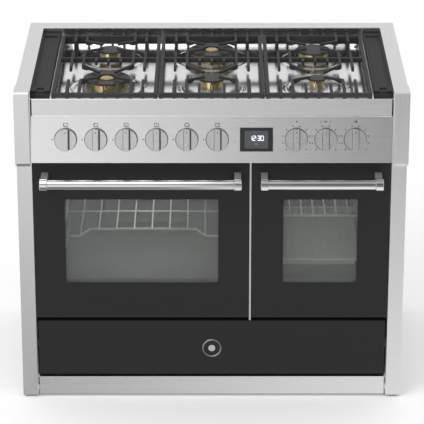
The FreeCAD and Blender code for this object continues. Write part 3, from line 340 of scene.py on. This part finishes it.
# grain stretch along X, Y and Z, darkest and lightest colour, roughness, bump, other sockets,
# and where given the mottling's scale, colour and share
finishSetup = {
    "steelAcross": steel((3, 300, 900), 0.70, 0.84, (0.16, 0.26)),
    "steelUpright": steel((900, 900, 3), 0.70, 0.84, (0.16, 0.26)),
    "panSteel": steel((6, 200, 200), 0.84, 0.92, (0.12, 0.20)),
    "barSteel": steel((6, 300, 300), 0.64, 0.72, (0.08, 0.12), 0.0),
    "knobSteel": steel((500, 500, 500), 0.62, 0.74, (0.20, 0.32)),
    "galvanised": steel((40, 40, 40), 0.45, 0.62, (0.38, 0.55)),
    "rackChrome": {
        "stretch": (60, 60, 60), "colours": ((0.50, 0.50, 0.46), (0.62, 0.62, 0.57)),
        "rough": (0.35, 0.5), "bump": 0.1, "sockets": {"Metallic": 0.6}},
    "elementSteel": steel((80, 80, 80), 0.20, 0.32, (0.35, 0.5)),
    "brass": {
        "stretch": (90, 90, 90), "colours": ((0.40, 0.30, 0.13), (0.62, 0.48, 0.24)),
        "rough": (0.24, 0.38), "bump": 0.3, "sockets": {"Metallic": 1.0}},
    "castIron": {
        "stretch": (700, 700, 700), "colours": ((0.022, 0.022, 0.024), (0.042, 0.042, 0.045)),
        "rough": (0.45, 0.65), "bump": 0.5, "sockets": {"Specular IOR Level": 0.15},
        "mottle": (30, (0.060, 0.060, 0.063), 0.4)},
    "capEnamel": {
        "stretch": (300, 300, 300), "colours": ((0.024, 0.025, 0.026), (0.036, 0.037, 0.038)),
        "rough": (0.38, 0.5), "bump": 0.15, "sockets": {"Specular IOR Level": 0.3}},
    # dark grey used only for painted shade at the knobs: the shadow rings behind them and the
    # shade strips beside their grips
    "paintedShadeGrey": {
        "stretch": (500, 500, 500), "colours": (0.05, 0.07), "rough": (0.6, 0.7),
        "bump": 0.1},
    "mattEnamel": {
        "stretch": (400, 400, 400), "colours": ((0.026, 0.026, 0.027), (0.036, 0.036, 0.037)),
        "rough": (0.45, 0.6), "bump": 0.2, "sockets": {"Specular IOR Level": 0.12}},
    "blackEnamel": {
        "stretch": (400, 400, 400), "colours": ((0.020, 0.020, 0.022), (0.032, 0.032, 0.034)),
        "rough": (0.30, 0.42), "bump": 0.15,
        "sockets": {"Coat Weight": 0.3, "Coat Roughness": 0.2}},
    "greyEnamel": {
        "stretch": (500, 500, 500), "colours": ((0.10, 0.105, 0.11), (0.17, 0.175, 0.18)),
        "rough": (0.30, 0.45), "bump": 0.2,
        "sockets": {"Coat Weight": 0.2, "Coat Roughness": 0.25},
        "mottle": (14, (0.07, 0.07, 0.075), 0.5)},
    "anthracite": {
        "stretch": (600, 600, 600), "colours": ((0.011, 0.011, 0.0115), (0.016, 0.016, 0.0165)),
        "rough": (0.38, 0.48), "bump": 0.12, "sockets": {"Specular IOR Level": 0.3}},
    "paintedSide": {
        "stretch": (500, 500, 500), "colours": ((0.34, 0.345, 0.35), (0.40, 0.405, 0.41)),
        "rough": (0.4, 0.5), "bump": 0.1},
    "aluminium": {
        "stretch": (200, 200, 200), "colours": ((0.55, 0.55, 0.56), (0.68, 0.68, 0.69)),
        "rough": (0.4, 0.55), "bump": 0.3, "sockets": {"Metallic": 1.0}},
    "mineralWool": {
        "stretch": (120, 120, 120), "colours": ((0.42, 0.36, 0.20), (0.62, 0.56, 0.38)),
        "rough": (0.9, 1.0), "bump": 0.8},
    "rubber": {
        "stretch": (300, 300, 300), "colours": (0.03, 0.05), "rough": (0.7, 0.85),
        "bump": 0.3},
    "blackPlastic": {
        "stretch": (500, 500, 500), "colours": (0.018, 0.028), "rough": (0.45, 0.6),
        "bump": 0.2},
    "displayBlack": {
        "stretch": (300, 300, 300), "colours": ((0.008, 0.008, 0.009), (0.012, 0.012, 0.013)),
        "rough": (0.12, 0.2), "bump": 0.0,
        "sockets": {"Coat Weight": 0.6, "Coat Roughness": 0.05}},
    "screenGrey": {
        "stretch": (300, 300, 300), "colours": ((0.035, 0.042, 0.05), (0.05, 0.058, 0.066)),
        "rough": (0.2, 0.3), "bump": 0.0,
        "sockets": {"Specular IOR Level": 0.3, "Emission Color": (0.20, 0.23, 0.25, 1),
                    "Emission Strength": 0.12}},
    "digitWhite": {
        "stretch": (300, 300, 300), "colours": ((0.7, 0.75, 0.78), (0.8, 0.85, 0.88)),
        "rough": (0.4, 0.5), "bump": 0.0,
        "sockets": {"Emission Color": (0.85, 0.93, 0.96, 1), "Emission Strength": 0.8}},
    "signalRed": {
        "stretch": (300, 300, 300), "colours": ((0.42, 0.05, 0.03), (0.5, 0.08, 0.05)),
        "rough": (0.3, 0.4), "bump": 0.0,
        "sockets": {"Emission Color": (0.55, 0.06, 0.03, 1), "Emission Strength": 0.35}},
    "lampAmber": {
        "stretch": (300, 300, 300), "colours": ((0.42, 0.16, 0.06), (0.5, 0.20, 0.08)),
        "rough": (0.3, 0.4), "bump": 0.0,
        "sockets": {"Emission Color": (0.50, 0.16, 0.05, 1), "Emission Strength": 0.3}},
    "discBlack": {
        "stretch": (300, 300, 300), "colours": (0.005, 0.009), "rough": (0.2, 0.3),
        "bump": 0.0, "sockets": {"Specular IOR Level": 0.4}},
    "discRing": steel((200, 200, 200), 0.28, 0.40, (0.25, 0.35)),
    "ovenGlass": {
        "stretch": (2, 2, 3), "colours": ((0.235, 0.25, 0.225), (0.22, 0.245, 0.24)),
        "rough": (0.04, 0.07), "bump": 0.0, "sockets": {"Alpha": 0.14, "IOR": 1.5}},
}

finishes = {name: makeFinish(name, **setup) for name, setup in finishSetup.items()}
turnSatin(finishes["barSteel"], handleSetup)

# finish of each node, or of all nodes whose names start so
nodeFinish = {
    "side_frame": "steelUpright", "side_panels": "paintedSide", "cheeks": "steelUpright",
    "rear_rail": "steelAcross", "back_panel": "galvanised", "base_tray": "galvanised",
    "front_frame": "blackEnamel", "divider_strip": "knobSteel", "plinth": "steelAcross",
    "feet": "blackPlastic", "fascia_strip": "steelAcross", "control_panel": "steelAcross",
    "oven_controls": "displayBlack", "gas_taps": "brass", "hob_pan": "panSteel",
    "hob_side_covers": "mattEnamel", "pan_support": "castIron", "burner_cups": "aluminium",
    "burner_crowns": "brass", "burner_caps": "capEnamel", "gas_manifold": "aluminium",
    "main_cavity": "greyEnamel", "small_cavity": "greyEnamel", "insulation_wrap": "mineralWool",
    "door_gaskets": "rubber", "oven_racks": "rackChrome", "rack_ladders": "rackChrome",
    "heating_elements": "elementSteel", "oven_fan": "elementSteel",
    "fan_housing": "elementSteel", "main_door_panel": "anthracite",
    "small_door_panel": "anthracite", "main_door_glass": "ovenGlass",
    "small_door_glass": "ovenGlass", "main_door_liner": "greyEnamel",
    "small_door_liner": "greyEnamel", "main_door_handle": "barSteel",
    "small_door_handle": "barSteel", "drawer_front": "anthracite", "drawer_box": "galvanised",
    "drawer_runners": "galvanised", "terminal_box": "blackPlastic", "gas_knob": "knobSteel",
    "oven_knob": "knobSteel", "tap_spindle": "brass",
}


def dressNodes():
    # the longest matching key gives a node its finish
    for name, node in nodes.items():
        keys = [k for k in nodeFinish if name.startswith(k)]
        node.data.materials.clear()
        node.data.materials.append(finishes[nodeFinish[max(keys, key=len)]])


dressNodes()
print("finishes on all nodes")


# building blocks of the added pieces, in metres

layGap = 0.00002      # keeps a piece just off the face that it lies on
printGap = 0.00001    # the same for the thinnest marks


def makeObject(name, points, faces, finish, body):
    # a closed surface, doubles merged and faces outward, riding on a CAD body
    mesh = bpy.data.meshes.new(name)
    mesh.from_pydata(points, [], faces)
    work = bmesh.new()
    work.from_mesh(mesh)
    bmesh.ops.remove_doubles(work, verts=work.verts, dist=1e-6)
    bmesh.ops.recalc_face_normals(work, faces=work.faces)
    work.to_mesh(mesh)
    work.free()
    made = bpy.data.objects.new(name, mesh)
    bpy.context.scene.collection.objects.link(made)
    mesh.materials.append(finishes[finish])
    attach(made, body)


def bandFaces(rows, count):
    # four-sided faces from each closed ring of points to the next one
    i, j = np.mgrid[0:rows - 1, 0:count]
    k = (j + 1) % count
    corners = (i * count + j, i * count + k, (i + 1) * count + k, (i + 1) * count + j)
    return [tuple(face) for face in np.stack(corners, axis=-1).reshape(-1, 4).tolist()]


def turnedGrid(profile, count):
    # (radius, height) rows swept round the axis: x = r cos a, y = r sin a, z = height
    radii, heights = np.array(profile, dtype=float).T
    turns = np.linspace(0, 2 * np.pi, count, endpoint=False)
    grid = np.stack([np.outer(radii, np.cos(turns)), np.outer(radii, np.sin(turns)),
                     np.repeat(heights[:, None], count, axis=1)], axis=-1)
    return grid.reshape(-1, 3), bandFaces(len(profile), count)


def discProfile(radius, height, fall=0.4):
    # low disc with a domed top: height falls with the square of the radius
    rim = [(radius * s, height * (1 - fall * s * s)) for s in np.linspace(0, 1, 5)]
    return rim + [(radius, 0), (0, 0)]


def plate(outline, thickness):
    # flat outline of (across, up) pairs given a small thickness
    outline = np.array(outline)
    count = len(outline)
    points = np.column_stack([np.tile(outline, (2, 1)), np.repeat([0, thickness], count)])
    faces = [tuple(range(count))[::-1], tuple(range(count, 2 * count))]
    faces += [(i, (i + 1) % count, count + (i + 1) % count, count + i) for i in range(count)]
    return points, faces


def gather(parts):
    # several (points, faces) pairs as one
    points, faces, start = [], [], 0
    for some, rings in parts:
        points.append(some)
        faces += [tuple(i + start for i in ring) for ring in rings]
        start += len(some)
    return np.concatenate(points), faces


def circleOutline(radius, x, y, count=16):
    # across = x + r cos a, up = y + r sin a
    turns = np.linspace(0, 2 * np.pi, count, endpoint=False)
    return np.column_stack([x + radius * np.cos(turns), y + radius * np.sin(turns)])


def barOutline(x, y, halfLong, halfWide, turn):
    # small bar with pointed ends, turned about its middle
    inner = halfLong - halfWide
    along = np.array([-halfLong, -inner, inner, halfLong, inner, -inner])
    aside = np.array([0, -halfWide, -halfWide, 0, halfWide, halfWide])
    c, s = math.cos(turn), math.sin(turn)
    return np.column_stack([x + along * c - aside * s, y + along * s + aside * c])


def onPanel(points, x, lift):
    # local (across, up, outward) metres set on the leaning panel's face at x: the oven
    # knob's axis is the outward direction
    outward = Vector(joints["oven_turn_1"]["axis"]).normalized()
    across = Vector((1, 0, 0))
    axes = np.array([across, outward.cross(across), outward])
    middle = joints["oven_turn_1"]["pos_m"]
    return points @ axes + np.array([x, middle[1], middle[2]]) + axes[2] * lift


knobCounts = {"gas": 6, "oven": 3}


def knobPlaces(kind):
    # number and place across of each knob of one kind
    return [(str(i), joints[kind + "_turn_" + str(i)]["pos_m"][0])
            for i in range(1, knobCounts[kind] + 1)]


# marks printed on the panel

markSetup = {
    "thickness": 0.00008,
    "offDotOut": 0.0345,             # dot at nine o'clock
    "offDotRadius": 0.0016,
    "iconUp": 0.0375,
    "iconHalf": (0.00528, 0.004092),
    "iconWide": 0.0006,
    "iconDotsOut": (0.0033, 0.00198),
    "iconDot": 0.0012,               # the knob's own burner
    "iconSmallDot": 0.000504,
    "dotSides": 10,
    "tickOut": 0.0352,
    "tickRadius": 0.0015,
    "tickDegrees": (-45, 226, 30),   # first, end and step
    "symbolUp": 0.0455,
    "symbols": (                     # upright bars per oven knob: across, half height, half width
        ((0.0, 0.0026, 0.0008), (0.0022, 0.0018, 0.0006)),
        ((-0.0110, 0.0018, 0.0008), (-0.0022, 0.0024, 0.0012), (0.0022, 0.0024, 0.0012),
         (0.0110, 0.0018, 0.0008)),
        ((-0.0040, 0.0026, 0.0009), (0.0020, 0.0032, 0.0022)),
    ),
}


def gasOutlines(which, setup):
    # off dot, then a square outline with six dots, the knob's own burner larger
    up, (halfAcross, halfUp) = setup["iconUp"], setup["iconHalf"]
    outlines = [circleOutline(setup["offDotRadius"], -setup["offDotOut"], 0)]
    for side in (1, -1):
        outlines.append(barOutline(0, up + side * halfUp, halfAcross, setup["iconWide"], 0))
    for side in (1, -1):
        outlines.append(barOutline(side * halfAcross, up, halfUp, setup["iconWide"],
                                   math.pi / 2))
    out, rise = setup["iconDotsOut"]
    places = [(c * out, up + r * rise) for c in (-1, 0, 1) for r in (-1, 1)]
    for i, (x, y) in enumerate(places):
        radius = setup["iconDot"] if i == which else setup["iconSmallDot"]
        outlines.append(circleOutline(radius, x, y, setup["dotSides"]))
    return outlines


def ovenOutlines(which, setup):
    # ticks round the knob, then its symbol above
    outlines = [circleOutline(setup["tickRadius"], math.cos(turn) * setup["tickOut"],
                              math.sin(turn) * setup["tickOut"], setup["dotSides"])
                for turn in np.radians(np.arange(*setup["tickDegrees"]))]
    return outlines + [barOutline(across, setup["symbolUp"], high, wide, math.pi / 2)
                       for across, high, wide in setup["symbols"][which]]


def addPanelMarks(setup):
    for kind, outlinesOf in (("gas", gasOutlines), ("oven", ovenOutlines)):
        for i, (number, x) in enumerate(knobPlaces(kind)):
            points, faces = gather([plate(o, setup["thickness"])
                                    for o in outlinesOf(i, setup)])
            makeObject(kind + "Marks" + number, onPanel(points, x, layGap), faces,
                       "blackPlastic", "cooker")


addPanelMarks(markSetup)
print("panel marks drawn")


# dots that show where the knobs point

dotSetup = {"radius": 0.0014, "height": 0.0002, "up": 0.0195, "top": 0.0270, "sides": 20}


def addKnobDots(setup):
    points, faces = turnedGrid(discProfile(setup["radius"], setup["height"]), setup["sides"])
    points = points + np.array([0, setup["up"], 0])
    for kind in knobCounts:
        for number, x in knobPlaces(kind):
            makeObject(kind + "KnobDot" + number, onPanel(points, x, setup["top"]), faces,
                       "blackPlastic", kind + "_dial_" + number)


addKnobDots(dotSetup)


# painted shadow rings behind the knobs and painted shade strips beside their grips

knobShadowRingSetup = {"inner": 0.0105, "outer": 0.0295, "height": 0.0008, "sides": 48}


def addKnobSeats(setup):
    # dark flat ring between each knob and the panel, a painted shadow of the gap under the knob,
    # its outer edge a quarter circle
    inner, outer, height = setup["inner"], setup["outer"], setup["height"]
    turns = np.linspace(0, math.pi / 2, 4)
    edge = list(zip(outer - height + height * np.sin(turns), height * np.cos(turns)))
    points, faces = turnedGrid([(inner, 0), (inner, height)] + edge + [(inner, 0)],
                               setup["sides"])
    for kind in knobCounts:
        for number, x in knobPlaces(kind):
            makeObject(kind + "KnobShadowRing" + number, onPanel(points, x, layGap), faces,
                       "paintedShadeGrey", "cooker")


addKnobSeats(knobShadowRingSetup)

gripShadeSetup = {
    "gripHalf": 0.0080,
    "discTop": 0.0130,
    "radius": 0.0268,
    "height": 0.00015,
    # widths of the painted shade strips beside the grip, wider on the side that lies in shade
    "shadeWidths": {"gas": (0.0008, 0.0030), "oven": (0.0010, 0.0014)},     # left and right
}


def gapOutline(side, wide, setup):
    # dark strip of painted shade beside the grip, wider on the shaded side, whose ends follow the
    # disc: up = sqrt(radius^2 - across^2)
    inside = setup["gripHalf"] + layGap
    across = inside + wide * np.array([0, 0.5, 1, 1, 0.5, 0])
    up = np.sqrt(setup["radius"] ** 2 - across ** 2) * np.array([1, 1, 1, -1, -1, -1])
    return np.column_stack([side * across, up])


def addGripGaps(setup):
    for kind in knobCounts:
        points, faces = gather([plate(gapOutline(side, wide, setup), setup["height"])
                                for side, wide in zip((-1, 1), setup["shadeWidths"][kind])])
        for number, x in knobPlaces(kind):
            makeObject(kind + "GripShadeStrip" + number,
                       onPanel(points, x, setup["discTop"] + printGap), faces,
                       "paintedShadeGrey", kind + "_dial_" + number)


addGripGaps(gripShadeSetup)
print("knobs finished")


# pressed wells of the hob

wellSetup = {
    "rows": {"Front": -0.088, "Rear": 0.158},    # burners along Y
    "wokRadius": 0.096,
    "plainRadius": 0.080,
    "wide": 0.018,
    "height": 0.0016,
    "floor": 0.80002,
    "woks": ("leftFront", "centreRear"),         # the two large burners
    "sides": 72,
    "steps": 13,
}


def addWells(setup):
    # low pressed ring in the pan's floor: its height is one wave of a cosine
    steps = np.linspace(-1, 1, setup["steps"])
    rise = setup["height"] * (0.5 + 0.5 * np.cos(np.pi * steps))
    for side in ("left", "centre", "right"):
        low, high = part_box("pan_support_" + side)
        for row, y in setup["rows"].items():
            big = side + row in setup["woks"]
            radius = setup["wokRadius"] if big else setup["plainRadius"]
            profile = list(zip(radius + setup["wide"] / 2 * steps, rise))
            points, faces = turnedGrid(profile + [profile[0]], setup["sides"])
            place = np.array([(low.x + high.x) / 2, y, setup["floor"]])
            makeObject("hobWell" + side.capitalize() + row, points + place, faces, "panSteel",
                       "cooker")


addWells(wellSetup)
print("wells pressed")


# fold under the fascia

foldSetup = {"y": -0.25305, "z": 0.7800, "radius": 0.0014, "half": 0.4565, "steps": 24,
             "arc": 9}


def addFold(setup):
    # slim half-round bead carried along the fold: a half circle swept sideways
    turns = np.linspace(-math.pi / 2, math.pi / 2, setup["arc"])
    ring = np.stack([setup["y"] - setup["radius"] * np.cos(turns),
                     setup["z"] + setup["radius"] * np.sin(turns)], axis=-1)
    places = np.linspace(-setup["half"], setup["half"], setup["steps"])
    count = len(ring)
    points = np.column_stack([np.repeat(places, count), np.tile(ring, (len(places), 1))])
    ends = [tuple(range(count))[::-1], tuple(range(len(points) - count, len(points)))]
    makeObject("fasciaFold", points, ends + bandFaces(len(places), count), "panSteel",
               "cooker")


addFold(foldSetup)
print("fold set")


# display and lamp

displaySetup = {
    "place": 0.1134,
    "screenHalf": (0.030, 0.0225),
    "screenCorner": 0.0015,
    "screenLift": 0.0002,            # the glass stands in the display's dish, above its floor
    "screenThick": 0.0004,
    "markThick": 0.0001,
    "digits": "1230",
    "digitPlaces": (-1.65, -0.65, 0.65, 1.65),     # in pitches
    "digitHalf": (0.0032, 0.0058),
    "digitPitch": 0.0088,
    "digitWide": 0.00075,
    "digitUp": 0.0035,
    "colonUp": 0.00232,
    "colonSides": 8,
    "symbolUp": -0.0115,
    "symbolBars": ((-0.002, 0.001, 0.9), (0.002, 0.001, -0.9), (0, -0.002, 0)),
    "symbolHalf": (0.0028, 0.0006),
    "lampPlace": (0.394, -0.0265),
    "lampRadius": 0.0024,
    "lampHeight": 0.0012,
    "lampSides": 24,
}

# lit bars of each digit: top, upper right, lower right, bottom, lower left, upper left, middle
digitBars = {"0": "abcdef", "1": "bc", "2": "abged", "3": "abgcd"}


def digitOutlines(setup):
    # seven bars round two squares for each digit, and the colon's two dots
    w, h = setup["digitHalf"]
    wide, rise = setup["digitWide"], setup["digitUp"]
    bars = {"a": (0, h, w, 0), "b": (w, h / 2, h / 2, 1), "c": (w, -h / 2, h / 2, 1),
            "d": (0, -h, w, 0), "e": (-w, -h / 2, h / 2, 1), "f": (-w, h / 2, h / 2, 1),
            "g": (0, 0, w, 0)}
    shapes = []
    for digit, place in zip(setup["digits"], setup["digitPlaces"]):
        x = place * setup["digitPitch"]
        for bar in digitBars[digit]:
            dx, dy, halfLong, upright = bars[bar]
            shapes.append(barOutline(x + dx, rise + dy, halfLong, wide, upright * math.pi / 2))
    for side in (-1, 1):
        shapes.append(circleOutline(wide, 0, rise + side * setup["colonUp"],
                                    setup["colonSides"]))
    return shapes


def addDisplay(setup):
    x = setup["place"]
    w, h = setup["screenHalf"]
    edge = setup["screenCorner"]
    outline = [(-w + edge, -h), (w - edge, -h), (w, -h + edge), (w, h - edge),
               (w - edge, h), (-w + edge, h), (-w, h - edge), (-w, -h + edge)]
    points, faces = plate(outline, setup["screenThick"])
    makeObject("displayScreen", onPanel(points, x, setup["screenLift"]), faces, "screenGrey",
               "cooker")
    lift = setup["screenLift"] + setup["screenThick"] + printGap
    symbol = [barOutline(dx, setup["symbolUp"] + dy, *setup["symbolHalf"], turn)
              for dx, dy, turn in setup["symbolBars"]]
    for name, outlines, finish in (("displayDigits", digitOutlines(setup), "digitWhite"),
                                   ("displaySymbol", symbol, "signalRed")):
        points, faces = gather([plate(o, setup["markThick"]) for o in outlines])
        makeObject(name, onPanel(points, x, lift), faces, finish, "cooker")
    across, up = setup["lampPlace"]
    points, faces = turnedGrid(discProfile(setup["lampRadius"], setup["lampHeight"]),
                               setup["lampSides"])
    points = points + np.array([0, up, 0])
    makeObject("ovenLamp", onPanel(points, across, layGap), faces, "lampAmber", "cooker")


addDisplay(displaySetup)
print("display and lamp set")


# disc on the drawer

discSetup = {
    "radius": 0.0254,
    "ringWide": 0.0042,
    "height": 0.0009,
    "rise": 0.141,
    "middleRadius": 0.0090,
    "faceMiddle": 0.35,        # shares of the height: the face's middle,
    "faceFall": 0.15,          # its fall to the rim,
    "domeHeight": 0.5,         # and the dome, with how far it stands off
    "domeLift": 0.36,
    "sides": 64,
}


def addDrawerDisc(setup):
    # plain turned disc: a face that falls with the square of the radius, a half-round ring
    # about it and a low dome in the middle
    r, w, h = setup["radius"], setup["ringWide"], setup["height"]
    axes = np.array([(1, 0, 0), (0, 0, 1), (0, -1, 0)])
    origin = np.array([0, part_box("drawer_front")[0].y - layGap, setup["rise"]])
    turns = np.linspace(math.pi, 0, 9)
    arch = list(zip(r - w / 2 + w / 2 * np.cos(turns), h * np.sin(turns)))
    out = np.linspace(0, 1, 5)
    face = list(zip((r - w) * out, h * (setup["faceMiddle"] - setup["faceFall"] * out ** 2)))
    dome = discProfile(setup["middleRadius"], h * setup["domeHeight"])
    for name, profile, finish, lift in (
            ("drawerDiscFace", face + [(r - w, 0), (0, 0)], "discBlack", 0),
            ("drawerDiscRing", arch + [arch[0]], "discRing", 0),
            ("drawerDiscDome", dome, "rackChrome", h * setup["domeLift"])):
        points, faces = turnedGrid(profile, setup["sides"])
        points = points + np.array([0, 0, lift])
        makeObject(name, points @ axes + origin, faces, finish, "storage_drawer")


addDrawerDisc(discSetup)
print("drawer disc set")
